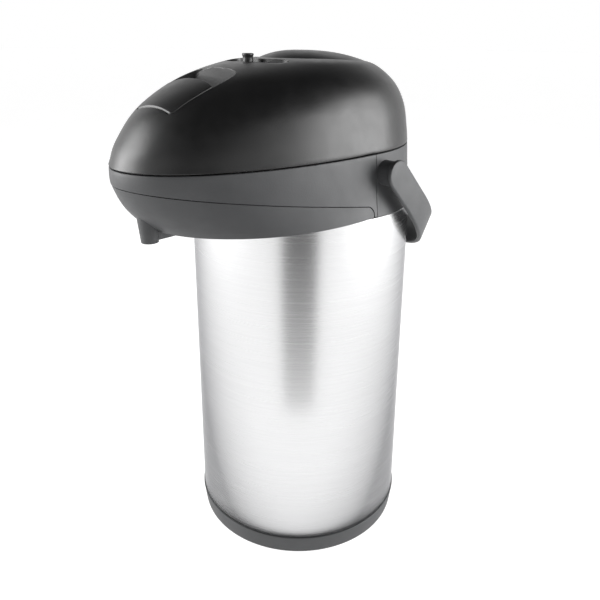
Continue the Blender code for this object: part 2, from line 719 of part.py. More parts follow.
def build_lever():
    pin_ends = (-25.4 * MM, LEVER_PIN_Y, LEVER_PIN_Z), (25.4 * MM, LEVER_PIN_Y, LEVER_PIN_Z)
    pad = plan_prism(lever_plan(), 350 * MM, 440 * MM)
    common(pad, lid_solid(0.0, SEAM_HALF_GAP))
    cut(pad, lid_solid(3.0 * MM, -6 * MM))
    arm = side_prism([(-139.5, 391.0), (-139.5, 382.0), (-149.0, 372.0), (-150.5, 345.0),
                      (-157.5, 343.4), (-157.5, 339.6), (-145.5, 339.6), (-143.0, 370.0),
                      (-130.5, 383.0), (-130.5, 395.0)], 5.6 * MM)
    common(arm, lid_and_below())
    join(pad, arm)
    cut(pad, cylinder((-30 * MM, LEVER_PIN_Y, LEVER_PIN_Z), (30 * MM, LEVER_PIN_Y, LEVER_PIN_Z),
                      LEVER_PIN_RADIUS + 0.3 * MM, segments=12))
    finish_part(pad, "release_lever", "black_plastic", (0.0, LEVER_PIN_Y, LEVER_PIN_Z))
    pin = cylinder(*pin_ends, LEVER_PIN_RADIUS, segments=12)
    finish_part(pin, "lever_pin", "fastener_steel", (0.0, HINGE_Y, HINGE_Z))

    coil = []
    for step in range(37):
        angle = 2 * math.pi * step / 12
        coil.append(((8 + step * 0.14) * MM, LEVER_PIN_Y + 2.1 * MM * math.cos(angle),
                     LEVER_PIN_Z + 2.1 * MM * math.sin(angle)))
    finish_part(tube(coil, 0.45 * MM, 2), "lever_spring", "fastener_steel", (0.0, HINGE_Y, HINGE_Z))


def lid_and_below():
    """The lid's outer form carried down through the collar, to trim what hangs inside."""
    rings = [egg_ring(station) for station in smooth_stations(LID_RINGS, HEAD_STEPS)]
    return loft([egg_ring(LID_RINGS[0], 0.0, -30 * MM)] + rings)


def handle_side(run):
    """Side view of the bail: a point and its hanging angle, a given run from the pivot."""
    bend_run = max(0.0, run - HANDLE_STRAIGHT)
    angle = HANDLE_ANGLE
    y, z = PIVOT_Y, PIVOT_Z
    straight = min(run, HANDLE_STRAIGHT)
    y += straight * math.sin(angle)
    z -= straight * math.cos(angle)
    steps = 12
    for step in range(steps):
        angle = HANDLE_ANGLE + HANDLE_BEND * (step + 0.5) / steps * bend_run / HANDLE_TURN
        y += bend_run / steps * math.sin(angle)
        z -= bend_run / steps * math.cos(angle)
    return y, z, HANDLE_ANGLE + HANDLE_BEND * bend_run / HANDLE_TURN


def handle_section(x, out_x, out_run, run, width):
    """A chamfered flat section: out_x and out_run say which way its outer face looks."""
    y, z, angle = handle_side(run)
    hang = Vector((0.0, math.sin(angle), -math.cos(angle)))
    across = Vector((0.0, math.cos(angle), math.sin(angle)))
    outward = Vector((out_x, 0.0, 0.0)) + hang * out_run
    middle = Vector((x, y, z))
    half, thick, edge = width / 2, HANDLE_THICK / 2, min(1.2 * MM, width / 8)
    corners = [(thick, half - edge), (thick - edge, half), (edge - thick, half), (-thick, half - edge)]
    corners += [(-out, -side) for out, side in corners]
    return [middle + outward * out + across * side for out, side in corners]


def build_handle():
    """One strap: round end, straight arm, half turn behind the body, and the other arm."""
    reach = HANDLE_INNER + HANDLE_THICK / 2
    half = HANDLE_WIDTH / 2
    arm = []
    for step in range(1, 6):
        angle = math.pi / 2 * (1 - step / 5)
        arm.append((reach, 1.0, 0.0, -half * math.sin(angle), 2 * half * math.cos(angle)))
    arm[-1] = (reach, 1.0, 0.0, 0.0, HANDLE_WIDTH)
    arm.append((reach, 1.0, 0.0, HANDLE_STRAIGHT / 2, HANDLE_WIDTH))
    turn = []
    for step in range(25):
        angle = math.pi * step / 24
        out_x, out_run = math.cos(angle), math.sin(angle)
        width = HANDLE_WIDTH + (HANDLE_GRIP - HANDLE_WIDTH) * out_run
        turn.append((reach * out_x, out_x, out_run, HANDLE_STRAIGHT + HANDLE_TURN * out_run, width))
    other = [(-x, -out_x, out_run, run, width) for x, out_x, out_run, run, width in reversed(arm)]
    strap = loft([handle_section(*section) for section in arm + turn + other])
    for side in (-1, 1):
        cut(strap, cylinder((side * 100 * MM, PIVOT_Y, PIVOT_Z), (side * 105 * MM, PIVOT_Y, PIVOT_Z),
                            5.2 * MM, segments=24))
    finish_part(strap, "carrying_handle", "charcoal_plastic", (0.0, PIVOT_Y, PIVOT_Z))


clear_scene()
PARTS = make_collection("pump_airpot")
build_body()
build_liner()
build_siphon()
build_collar()
build_lid()
build_bellows()
build_button()
build_lock()
build_lever()
build_handle()
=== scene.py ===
"""Looks of the pump airpot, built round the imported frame: smooth shells, materials, floor and light.

Metres, +Z up. The spout points towards -Y, and the body stands on z = 0.
"""
import json
import math

import bmesh
import bpy
from mathutils import Matrix, Vector


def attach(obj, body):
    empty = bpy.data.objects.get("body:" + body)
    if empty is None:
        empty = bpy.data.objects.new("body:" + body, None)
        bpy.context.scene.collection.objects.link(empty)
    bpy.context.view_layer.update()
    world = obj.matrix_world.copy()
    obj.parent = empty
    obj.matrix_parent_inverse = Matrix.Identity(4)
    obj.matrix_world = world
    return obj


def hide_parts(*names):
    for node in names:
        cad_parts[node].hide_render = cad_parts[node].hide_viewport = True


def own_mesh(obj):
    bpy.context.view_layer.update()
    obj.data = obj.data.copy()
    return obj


MM = 0.001
# Driving dimensions
BODY_RADIUS = 95.0 * MM
COLLAR_FOOT = 306.6 * MM
WALL = 2.6 * MM
GAP = 0.4 * MM

# The lid and the collar meet on a ring that rises towards the rear
SEAM_HALF_GAP = 0.45 * MM

# Egg-shaped rings of the head: front y, rear y, half width, z at the front, z at the rear
LID_RINGS = [
    (-174.5, 91.0, 91.0, 350.5, 358.5),
    (-167.5, 90.0, 89.8, 367.0, 369.0),
    (-147.0, 87.3, 85.6, 390.0, 388.5),
    (-110.5, 79.0, 76.0, 409.5, 405.0),
    (-66.0, 65.0, 58.5, 421.5, 418.0),
    (-30.0, 50.0, 42.0, 424.5, 422.5),
]
# The same for the collar, with how far each ring follows the level underside of the overhang
COLLAR_RINGS = [
    (-174.5, 91.0, 91.0, 350.5, 358.5, 0.0),
    (-174.0, 91.8, 91.8, 338.0, 345.0, 0.0),
    (-167.0, 92.8, 92.8, 322.5, 331.0, 0.3),
    (-157.5, 93.8, 93.8, 311.0, 319.0, 0.7),
    (-148.0, 95.0, 95.2, 303.2, 306.6, 1.0),
]
DIP_START = 12.0 * MM
DIP_LENGTH = 98.0 * MM
HEAD_SEGMENTS = 160
HEAD_STEPS = 8

# Pump button and the lock around it
BUTTON_Y = 8.5 * MM
BUTTON_RADIUS = 46.2 * MM
BUTTON_HOLE = 46.9 * MM
BUTTON_RIM = 422.0 * MM
BUTTON_TOP = 430.0 * MM
BUTTON_APEX_Y = -4.0 * MM
BUTTON_SKIRT = 11.0 * MM
LOCK_RADIUS = 66.0 * MM
LOCK_SWEEP = math.radians(22.0)

# Release lever and the finger well behind it
LEVER_PIN_Y = -135.0 * MM
LEVER_PIN_Z = 388.6 * MM
LEVER_PIN_RADIUS = 1.5 * MM

# Lid hinge
HINGE_Y = 97.6 * MM
HINGE_Z = 356.5 * MM
KNUCKLE_RADIUS = 4.3 * MM
HINGE_PIN_RADIUS = 1.5 * MM

# Bail handle
PIVOT_Y = 2.5 * MM
PIVOT_Z = 340.0 * MM
HANDLE_ANGLE = math.radians(44.0)
HANDLE_BEND = math.radians(24.0)
HANDLE_INNER = 102.3 * MM
HANDLE_THICK = 4.0 * MM
HANDLE_WIDTH = 23.0 * MM
HANDLE_GRIP = 28.0 * MM
HANDLE_STRAIGHT = 33.0 * MM
HANDLE_TURN = 96.0 * MM

# Siphon outlet
NOZZLE_Y = -153.0 * MM
NOZZLE_FOOT = 295.5 * MM
EDGE = 0.7 * MM


# Studio: angles in degrees, lengths in metres, levels as shares of white
CAMERA_AZIMUTH = 46.0
CAMERA_PITCH = 17.84
CAMERA_ROLL = 0.45
CAMERA_REACH = 0.5415
CAMERA_HEIGHT = 0.4356
STRIP_LEVEL = 0.25
CEILING_LEVEL = 0.03
FLOOR_GLOW = 0.86
FLAG_WIDTH = 0.10
FLAG_HEIGHT = 0.34
FLAG_REACH = 0.20
# Painted shade: a grey edge tint that darkens the steel's reflections towards its outline.
STEEL_RIM_SHADE = (0.42, 0.42, 0.43, 1.0)


def mesh_object(name, bm):
    """A work object; the part or cutter functions below give it its place."""
    bmesh.ops.recalc_face_normals(bm, faces=bm.faces[:])
    mesh = bpy.data.meshes.new(name)
    bm.to_mesh(mesh)
    bm.free()
    item = bpy.data.objects.new(name, mesh)
    bpy.context.scene.collection.objects.link(item)
    return item


def bake(item):
    """Replaces the mesh with the modified one, in world space."""
    depsgraph = bpy.context.evaluated_depsgraph_get()
    mesh = bpy.data.meshes.new_from_object(item.evaluated_get(depsgraph))
    mesh.transform(item.matrix_world)
    item.modifiers.clear()
    item.data = mesh
    item.matrix_world = Matrix.Identity(4)
    return item


def boolean(item, other, operation, keep_other=False):
    """Cuts, joins or intersects with the EXACT solver."""
    modifier = item.modifiers.new(operation.lower(), "BOOLEAN")
    modifier.operation = operation
    modifier.solver = "EXACT"
    modifier.object = other
    bake(item)
    if not keep_other:
        bpy.data.objects.remove(other, do_unlink=True)
    return item


def cut(item, other, keep_other=False):
    return boolean(item, other, "DIFFERENCE", keep_other)


def join(item, other):
    return boolean(item, other, "UNION")


def common(item, other, keep_other=False):
    return boolean(item, other, "INTERSECT", keep_other)


def copy_of(item):
    twin = item.copy()
    twin.data = item.data.copy()
    bpy.context.scene.collection.objects.link(twin)
    return twin


def box(low, high):
    low, high = Vector(low), Vector(high)
    bm = bmesh.new()
    bmesh.ops.create_cube(bm, size=1.0)
    size = high - low
    bmesh.ops.scale(bm, vec=size, verts=bm.verts[:])
    bmesh.ops.translate(bm, vec=(low + high) / 2, verts=bm.verts[:])
    return mesh_object("box", bm)


def cylinder(start, end, radius, end_radius=None, segments=24):
    start, end = Vector(start), Vector(end)
    axis = end - start
    bm = bmesh.new()
    bmesh.ops.create_cone(bm, cap_ends=True, segments=segments, radius1=radius,
                          radius2=radius if end_radius is None else end_radius, depth=axis.length)
    turn = Vector((0, 0, 1)).rotation_difference(axis.normalized()).to_matrix().to_4x4()
    bmesh.ops.transform(bm, matrix=Matrix.Translation((start + end) / 2) @ turn, verts=bm.verts[:])
    return mesh_object("cylinder", bm)


def turned(profile, segments=48, center_y=0.0):
    """A closed (radius, z) outline in millimetres, turned about Z with a Screw modifier."""
    bm = bmesh.new()
    verts = [bm.verts.new((radius * MM, 0.0, z * MM)) for radius, z in profile]
    for first, second in zip(verts, verts[1:]):
        bm.edges.new((first, second))
    if profile[0][0] > 0.0 or profile[-1][0] > 0.0:
        bm.edges.new((verts[-1], verts[0]))
    mesh = bpy.data.meshes.new("turned")
    bm.to_mesh(mesh)
    bm.free()
    item = bpy.data.objects.new("turned", mesh)
    bpy.context.scene.collection.objects.link(item)
    screw = item.modifiers.new("turn", "SCREW")
    screw.steps = segments
    screw.render_steps = segments
    screw.use_merge_vertices = True
    screw.merge_threshold = 0.00002
    item.location.y = center_y
    bake(item)
    face_out(item)
    return item


def face_out(item):
    bm = bmesh.new()
    bm.from_mesh(item.data)
    bmesh.ops.recalc_face_normals(bm, faces=bm.faces[:])
    bm.to_mesh(item.data)
    bm.free()


def flat_outline(points, half_thickness, matrix):
    """A flat outline as a filled 2D curve, thickened both ways, then placed."""
    curve = bpy.data.curves.new("outline", "CURVE")
    curve.dimensions = "2D"
    curve.fill_mode = "BOTH"
    curve.extrude = half_thickness
    spline = curve.splines.new("POLY")
    spline.points.add(len(points) - 1)
    for point, (u, v) in zip(spline.points, points):
        point.co = (u, v, 0.0, 1.0)
    spline.use_cyclic_u = True
    guide = bpy.data.objects.new("outline", curve)
    bpy.context.scene.collection.objects.link(guide)
    guide.matrix_world = matrix
    return curve_to_mesh(guide)


def curve_to_mesh(guide):
    depsgraph = bpy.context.evaluated_depsgraph_get()
    depsgraph.update()
    mesh = bpy.data.meshes.new_from_object(guide.evaluated_get(depsgraph))
    mesh.transform(guide.matrix_world)
    bm = bmesh.new()
    bm.from_mesh(mesh)
    bmesh.ops.remove_doubles(bm, verts=bm.verts[:], dist=0.00001)
    bpy.data.objects.remove(guide, do_unlink=True)
    return mesh_object("curve", bm)


def side_prism(points, half_width):
    """An outline of (y, z) points in millimetres, thickened along X."""
    placed = Matrix(((0, 0, 1, 0), (1, 0, 0, 0), (0, 1, 0, 0), (0, 0, 0, 1)))
    return flat_outline([(y * MM, z * MM) for y, z in points], half_width, placed)


def plan_prism(points, low, high):
    """An outline of (x, y) points in millimetres, thickened along Z."""
    placed = Matrix.Translation((0, 0, (low + high) / 2))
    return flat_outline([(x * MM, y * MM) for x, y in points], (high - low) / 2, placed)


def dip(y):
    """How far along the overhang a point is: 0 behind the axis, 1 well forward of it."""
    return math.sin(math.pi / 2 * min(1.0, max(0.0, (-y - DIP_START) / DIP_LENGTH)))


def egg_ring(station, inset=0.0, lift=0.0):
    """An egg-shaped ring: half an ellipse in front of the axis, half another behind it."""
    front, rear, half_width, z_front, z_rear = (value * MM for value in station[:5])
    sag = station[5] if len(station) > 5 else 0.0
    points = []
    for index in range(HEAD_SEGMENTS):
        angle = 2 * math.pi * index / HEAD_SEGMENTS
        reach = (rear if math.cos(angle) > 0 else -front) - inset
        x = (half_width - inset) * math.sin(angle)
        y = reach * math.cos(angle)
        along = (y - front) / (rear - front)
        share = (1 - sag) * (1 - along) + sag * dip(y)
        points.append(Vector((x, y, z_rear + (z_front - z_rear) * share + lift)))
    return points


def smooth_stations(stations, steps):
    """Catmull-Rom stations between the design stations."""
    count = len(stations)
    smooth = []
    for index in range(count - 1):
        before = stations[max(index - 1, 0)]
        first, second = stations[index], stations[index + 1]
        after = stations[min(index + 2, count - 1)]
        for step in range(steps):
            t = step / steps
            smooth.append([
                0.5 * (2 * b + (c - a) * t + (2 * a - 5 * b + 4 * c - d) * t * t
                       + (3 * b - a - 3 * c + d) * t ** 3)
                for a, b, c, d in zip(before, first, second, after)])
    smooth.append(list(stations[-1]))
    return smooth


def loft(rings):
    """A closed solid through unlike rings, with a fan cap at each end."""
    bm = bmesh.new()
    rows = [[bm.verts.new(point) for point in ring] for ring in rings]
    count = len(rows[0])
    for lower, upper in zip(rows, rows[1:]):
        for index in range(count):
            following = (index + 1) % count
            bm.faces.new((lower[index], lower[following], upper[following], upper[index]))
    for row in (rows[0], rows[-1]):
        middle = bm.verts.new(sum((vert.co for vert in row), Vector()) / count)
        for index in range(count):
            bm.faces.new((row[index], row[(index + 1) % count], middle))
    return mesh_object("loft", bm)


def arc(center, radius, start, end, count):
    """Points on an arc, in millimetres and degrees."""
    points = []
    for index in range(count + 1):
        angle = math.radians(start + (end - start) * index / count)
        points.append((center[0] + radius * math.cos(angle), center[1] + radius * math.sin(angle)))
    return points


def groove(y):
    """Height in millimetres of the line where the chin cover meets the collar band."""
    return 316.0 + 0.14 * (-y - 17.0)


def knuckle(low, high, level):
    """A hinge knuckle with a web to the wall below (level -1) or above (level 1) the seam."""
    barrel = cylinder((low, HINGE_Y, HINGE_Z), (high, HINGE_Y, HINGE_Z), KNUCKLE_RADIUS, segments=24)
    if level < 0:
        web = box((low, 89.6 * MM, 349.5 * MM), (high, HINGE_Y, 356.6 * MM))
    else:
        web = box((low, 88.4 * MM, 359.3 * MM), (high, HINGE_Y, HINGE_Z + KNUCKLE_RADIUS))
    return join(barrel, web)


def well_plan(grow):
    """Plan outline of the lever and the finger well behind it, in millimetres."""
    right = [(18.6 + grow, -144.6 - grow), (21.6 + grow, -143.9 - grow), (23.4 + grow, -142.2),
             (24.2 + grow, -139.4), (26.6 + grow, -124.0), (28.4 + grow, -108.0),
             (28.6 + grow, -99.0), (27.4 + grow, -93.0), (24.6 + grow, -88.6 + grow * 0.4),
             (19.0 + grow, -85.8 + grow * 0.8), (9.0, -84.6 + grow)]
    return right + [(-x, y) for x, y in reversed(right)]


def well_floor(drop):
    """Side outline of everything above the well's floor, in millimetres."""
    return [(-150.0, 378.0 - drop), (-141.0, 378.5 - drop), (-130.0, 383.5 - drop), (-112.0, 394.5 - drop),
            (-101.0, 400.5 - drop), (-95.0, 404.5 - drop), (-89.5, 410.0 - drop), (-84.0, 418.0 - drop),
            (-78.0, 440.0),
            (-150.0, 440.0)]


def lock_slot(width, sweep):
    """Plan outline of a round-ended slot on the lock's circle, in millimetres."""
    radius = LOCK_RADIUS / MM
    center = (0.0, BUTTON_Y / MM)
    half = width / 2
    low, high = -90 - math.degrees(sweep), -90 + math.degrees(sweep)
    outline = arc(center, radius + half, low, high, 12)
    end = arc(center, radius, high, high, 1)[0]
    outline += arc(end, half, high, high + 180, 6)[1:-1]
    outline += arc(center, radius - half, high, low, 12)
    start = arc(center, radius, low, low, 1)[0]
    outline += arc(start, half, low + 180, low + 360, 6)[1:-1]
    return outline


def lever_plan():
    right = [(17.8, -143.4), (20.8, -143.3), (22.6, -141.7), (23.4, -139.0), (25.9, -124.0),
             (27.5, -112.5), (18.0, -110.2), (9.0, -109.5)]
    return right + [(-x, y) for x, y in reversed(right)]


def screw_place(turn):
    angle = math.radians(90 + 120 * turn)
    return 48 * MM * math.cos(angle), 48 * MM * math.sin(angle)


def handle_side(run):
    """Side view of the bail: a point and its hanging angle, a given run from the pivot."""
    bend_run = max(0.0, run - HANDLE_STRAIGHT)
    angle = HANDLE_ANGLE
    y, z = PIVOT_Y, PIVOT_Z
    straight = min(run, HANDLE_STRAIGHT)
    y += straight * math.sin(angle)
    z -= straight * math.cos(angle)
    steps = 12
    for step in range(steps):
        angle = HANDLE_ANGLE + HANDLE_BEND * (step + 0.5) / steps * bend_run / HANDLE_TURN
        y += bend_run / steps * math.sin(angle)
        z -= bend_run / steps * math.cos(angle)
    return y, z, HANDLE_ANGLE + HANDLE_BEND * bend_run / HANDLE_TURN


def rounded(item, width, segments=3, angle=35.0):
    """Rounds the piece's sharp edges in the mesh."""
    bevel = item.modifiers.new("round", "BEVEL")
    bevel.width = width
    bevel.segments = segments
    bevel.limit_method = "ANGLE"
    bevel.angle_limit = math.radians(angle)
    bake(item)
    return item


def piece(item, name, material, body, nodes, smooth_angle=40.0):
    """Names a visual piece, shades it and lets it ride on a body in place of its CAD nodes."""
    item.name = name
    item.data.name = name
    item.data.shade_smooth()
    item.data.set_sharp_from_angle(angle=math.radians(smooth_angle))
    item.data.materials.clear()
    item.data.materials.append(material)
    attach(item, body)
    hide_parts(*nodes)
    return item


def soft_copy(node, name, material):
    """A copy of a pump piece that rides on the lid."""
    item = bpy.data.objects.new(name, node.data.copy())
    item.matrix_world = node.matrix_world
    bpy.context.scene.collection.objects.link(item)
    piece(item, name, material, "lid", [node.name])
    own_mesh(item)


# ---------------------------------------------------------------- materials

def new_material(name):
    material = bpy.data.materials.new(name)
    material.use_nodes = True
    tree = material.node_tree
    return material, tree, tree.nodes["Principled BSDF"]


def noise(tree, scale, detail=4.0, roughness=0.6, stretch=(1.0, 1.0, 1.0)):
    """A noise pattern fixed to the piece, stretched along its axes."""
    coordinates = tree.nodes.new("ShaderNodeTexCoord")
    mapping = tree.nodes.new("ShaderNodeMapping")
    mapping.inputs["Scale"].default_value = stretch
    texture = tree.nodes.new("ShaderNodeTexNoise")
    texture.inputs["Scale"].default_value = scale
    texture.inputs["Detail"].default_value = detail
    texture.inputs["Roughness"].default_value = roughness
    tree.links.new(coordinates.outputs["Object"], mapping.inputs["Vector"])
    tree.links.new(mapping.outputs["Vector"], texture.inputs["Vector"])
    return texture.outputs["Fac"]


def spread(tree, value, low, high, start=0.3, end=0.7):
    """Maps a pattern's middle range to low .. high."""
    node = tree.nodes.new("ShaderNodeMapRange")
    node.inputs["From Min"].default_value = start
    node.inputs["From Max"].default_value = end
    node.inputs["To Min"].default_value = low
    node.inputs["To Max"].default_value = high
    tree.links.new(value, node.inputs["Value"])
    return node.outputs["Result"]


def blend_colors(tree, factor, first, second):
    node = tree.nodes.new("ShaderNodeMix")
    node.data_type = "RGBA"
    node.inputs[6].default_value = (*first, 1.0)
    node.inputs[7].default_value = (*second, 1.0)
    tree.links.new(factor, node.inputs[0])
    return node.outputs[2]


def bump(tree, shader, height, strength, distance, radius=0.0):
    node = tree.nodes.new("ShaderNodeBump")
    node.inputs["Strength"].default_value = strength
    node.inputs["Distance"].default_value = distance
    tree.links.new(height, node.inputs["Height"])
    if radius > 0.0:
        edge = tree.nodes.new("ShaderNodeBevel")
        edge.samples = 6
        edge.inputs["Radius"].default_value = radius
        tree.links.new(edge.outputs["Normal"], node.inputs["Normal"])
    tree.links.new(node.outputs["Normal"], shader.inputs["Normal"])


def moulded(name, dark, light, rough, grain, depth, radius=0.0, specular=0.5):
    """Injection-moulded plastic: spark-eroded grain, faint flow marks and handling polish."""
    material, tree, shader = new_material(name)
    flow = spread(tree, noise(tree, 22.0, 3.0), 0.0, 1.0, 0.25, 0.75)
    tree.links.new(blend_colors(tree, flow, dark, light), shader.inputs["Base Color"])
    polish = spread(tree, noise(tree, 70.0, 6.0, 0.65), rough[0], rough[1])
    tree.links.new(polish, shader.inputs["Roughness"])
    shader.inputs["Specular IOR Level"].default_value = specular
    bump(tree, shader, noise(tree, grain, 2.0, 0.5), depth, 0.00012, radius)
    return material


def brushed(name, dark, light, rough, line_scale, depth, anisotropy):
    """Steel brushed round its axis: long fine lines, with a few deeper ones among them."""
    material, tree, shader = new_material(name)
    shader.inputs["Metallic"].default_value = 1.0
    shader.inputs["Anisotropic"].default_value = anisotropy
    # Painted shade: the grey edge tint darkens the steel's grazing reflections towards its outline.
    shader.inputs["Specular Tint"].default_value = STEEL_RIM_SHADE
    tangent = tree.nodes.new("ShaderNodeTangent")
    tangent.direction_type = "RADIAL"
    tangent.axis = "Z"
    tree.links.new(tangent.outputs["Tangent"], shader.inputs["Tangent"])
    fine = noise(tree, 1.0, 3.0, 0.6, (14.0, 14.0, line_scale))
    coarse = noise(tree, 1.0, 2.0, 0.5, (5.0, 5.0, line_scale * 0.4))
    both = tree.nodes.new("ShaderNodeMath")
    both.operation = "ADD"
    tree.links.new(fine, both.inputs[0])
    tree.links.new(coarse, both.inputs[1])
    lines = spread(tree, both.outputs[0], 0.0, 1.0, 0.75, 1.25)
    tree.links.new(blend_colors(tree, lines, dark, light), shader.inputs["Base Color"])
    cloud = spread(tree, both.outputs[0], rough[0], rough[1], 0.7, 1.3)
    tree.links.new(cloud, shader.inputs["Roughness"])
    bump(tree, shader, lines, depth, 0.00004)
    return material


def soft_rubber(name, dark, light):
    """Milky food-grade silicone with a little light under the skin."""
    material, tree, shader = new_material(name)
    tone = spread(tree, noise(tree, 30.0, 3.0), 0.0, 1.0)
    tree.links.new(blend_colors(tree, tone, dark, light), shader.inputs["Base Color"])
    tree.links.new(spread(tree, noise(tree, 160.0, 4.0), 0.5, 0.68), shader.inputs["Roughness"])
    shader.inputs["Subsurface Weight"].default_value = 0.15
    shader.inputs["Subsurface Scale"].default_value = 0.002
    bump(tree, shader, noise(tree, 1500.0, 2.0), 0.15, 0.0001)
    return material


def plated(name, dark, light, rough):
    """Bright fastener steel with faint turning marks."""
    material, tree, shader = new_material(name)
    shader.inputs["Metallic"].default_value = 1.0
    tone = spread(tree, noise(tree, 90.0, 5.0), 0.0, 1.0)
    tree.links.new(blend_colors(tree, tone, dark, light), shader.inputs["Base Color"])
    tree.links.new(spread(tree, noise(tree, 240.0, 4.0), rough[0], rough[1]), shader.inputs["Roughness"])
    bump(tree, shader, noise(tree, 1.0, 3.0, 0.6, (900.0, 120.0, 120.0)), 0.12, 0.00005)
    return material


# ---------------------------------------------------------------- the head's forms

def lid_form(inset=0.0, lift=0.0, edge=0.0):
    """The lid's outer form with a rounded foot, or with an inset the hollow inside it."""
    stations = smooth_stations(LID_RINGS, HEAD_STEPS)
    rings = [egg_ring(station, inset, -inset) for station in stations[3:]]
    foot = LID_RINGS[0]
    base = [egg_ring(foot, inset, lift)]
    if edge > 0.0:
        base = [egg_ring(foot, edge, lift), egg_ring(foot, edge * 0.3, lift + edge * 0.3),
                egg_ring(foot, 0.0, lift + edge)]
    return loft(base + rings)


def collar_form(inset=0.0, lift=0.0, foot_lift=0.0, edge=0.0, skin=0.0):
    """The collar's outer form down to its underside, or with an inset the hollow inside it."""
    stations = smooth_stations(COLLAR_RINGS, HEAD_STEPS)
    last = -3 if inset > 0.0 else -1
    rings = [egg_ring(station, inset + skin) for station in stations[3:last]]
    top = COLLAR_RINGS[0]
    head = [egg_ring(top, inset, lift)]
    if edge > 0.0:
        head = [egg_ring(top, edge + skin, lift), egg_ring(top, edge * 0.3 + skin, lift - edge * 0.3),
                egg_ring(top, skin, lift - edge)]
    foot = egg_ring(COLLAR_RINGS[-1], inset + skin, foot_lift)
    return loft(head + rings + [foot])


def collar_shell(skin=0.0):
    """The collar's wall and floor, open over the body."""
    shell = collar_form(0.0, -SEAM_HALF_GAP, 0.0, EDGE, skin)
    cut(shell, collar_form(WALL, 6 * MM, WALL))
    for radius, top in ((90.6 * MM, 330 * MM), (BODY_RADIUS + GAP, COLLAR_FOOT)):
        opening = cylinder((0, 0, 270 * MM), (0, 0, top), radius, segments=160)
        opening.data.transform(Matrix.Rotation(math.radians(0.8), 4, "Z"))
        cut(shell, opening)
    return shell


def chin_region(grow):
    """Side outline of the chin cover, with the round corner at its rear end."""
    line = [(y, groove(y) + grow) for y in range(-200, -20, 12)]
    corner = arc((-19.0, groove(-19.0) - 7.6), 7.6 + grow, 90, 0, 12)
    return side_prism(line + corner + [(-11.4 + grow, 280.0), (-200.0, 280.0)], 110 * MM)


def build_collar(charcoal):
    far = 200 * MM
    rear_line = -8.0 * MM
    front = (-far, -far, 0), (far, rear_line - 0.25 * MM, 2 * far)

    chin = collar_shell(0.3 * MM)
    common(chin, chin_region(-0.3))
    common(chin, box(*front))
    boss = cylinder((0, NOZZLE_Y, NOZZLE_FOOT), (0, NOZZLE_Y, 316 * MM), 6.4 * MM, 8.6 * MM, 64)
    rib = side_prism([(-152.0, 297.0), (-121.0, 297.6), (-114.0, 304.6), (-152.0, 309.0)], 4.6 * MM)
    join(boss, rib)
    join(chin, boss)
    cut(chin, cylinder((0, NOZZLE_Y, 290 * MM), (0, NOZZLE_Y, 320 * MM), 5.6 * MM, segments=48))
    piece(chin, "chin_cover_shell", charcoal, "pot", ["chin_cover"], 30.0)

    whole = collar_shell()
    band = copy_of(whole)
    cut(band, chin_region(0.3))
    common(band, box((-far, -far, 307 * MM), front[1]))
    piece(band, "collar_band_shell", charcoal, "pot", ["collar_band"], 30.0)

    yoke = whole
    common(yoke, box((-far, rear_line + 0.25 * MM, 0), (far, far, 2 * far)))
    for side in (-1, 1):
        join(yoke, cylinder((side * 90.4 * MM, PIVOT_Y, PIVOT_Z), (side * 101.8 * MM, PIVOT_Y, PIVOT_Z),
                            9.9 * MM, segments=72))
        cut(yoke, cylinder((side * 86 * MM, PIVOT_Y, PIVOT_Z), (side * 104 * MM, PIVOT_Y, PIVOT_Z),
                           5.2 * MM, segments=48))
        near, end = sorted((side * 13.4 * MM, side * 26 * MM))
        join(yoke, knuckle(near, end, -1))
    cut(yoke, cylinder((-30 * MM, HINGE_Y, HINGE_Z), (30 * MM, HINGE_Y, HINGE_Z),
                       HINGE_PIN_RADIUS + 0.35 * MM, segments=24))
    piece(yoke, "rear_yoke_shell", charcoal, "pot", ["rear_yoke"], 30.0)


def build_lid(black):
    shell = lid_form(0.0, SEAM_HALF_GAP, EDGE)
    hollow = lid_form(WALL, -6 * MM)
    tray = plan_prism(well_plan(2.4), 340 * MM, 440 * MM)
    common(tray, side_prism(well_floor(2.4), 40 * MM))
    cut(hollow, tray)
    cut(shell, hollow)
    pocket = plan_prism(well_plan(0.0), 350 * MM, 440 * MM)
    common(pocket, side_prism(well_floor(0.0), 40 * MM))
    rounded(pocket, 1.2 * MM, 4, 50.0)
    cut(shell, pocket)
    cut(shell, box((-6.6 * MM, -141.0 * MM, 370 * MM), (6.6 * MM, -126 * MM, 391 * MM)))
    cut(shell, box((-6.6 * MM, -149.0 * MM, 364 * MM), (6.6 * MM, -130 * MM, 381 * MM)))
    cut(shell, cylinder((0, BUTTON_Y, 380 * MM), (0, BUTTON_Y, 440 * MM), BUTTON_HOLE, segments=160))
    dish = plan_prism(lock_slot(16.5, LOCK_SWEEP + 0.06), 420.9 * MM, 440 * MM)
    rounded(dish, 1.6 * MM, 4, 50.0)
    cut(shell, dish)
    cut(shell, plan_prism(lock_slot(9.6, LOCK_SWEEP + 0.012), 410 * MM, 440 * MM))
    piece(shell, "lid_dome", black, "lid", ["lid_shell"], 32.0)

    barrel = knuckle(-13 * MM, 13 * MM, 1)
    cut(barrel, cylinder((-20 * MM, HINGE_Y, HINGE_Z), (20 * MM, HINGE_Y, HINGE_Z),
                         HINGE_PIN_RADIUS + 0.35 * MM, segments=24))
    piece(barrel, "lid_hinge_barrel", black, "lid", ["lid_shell"])


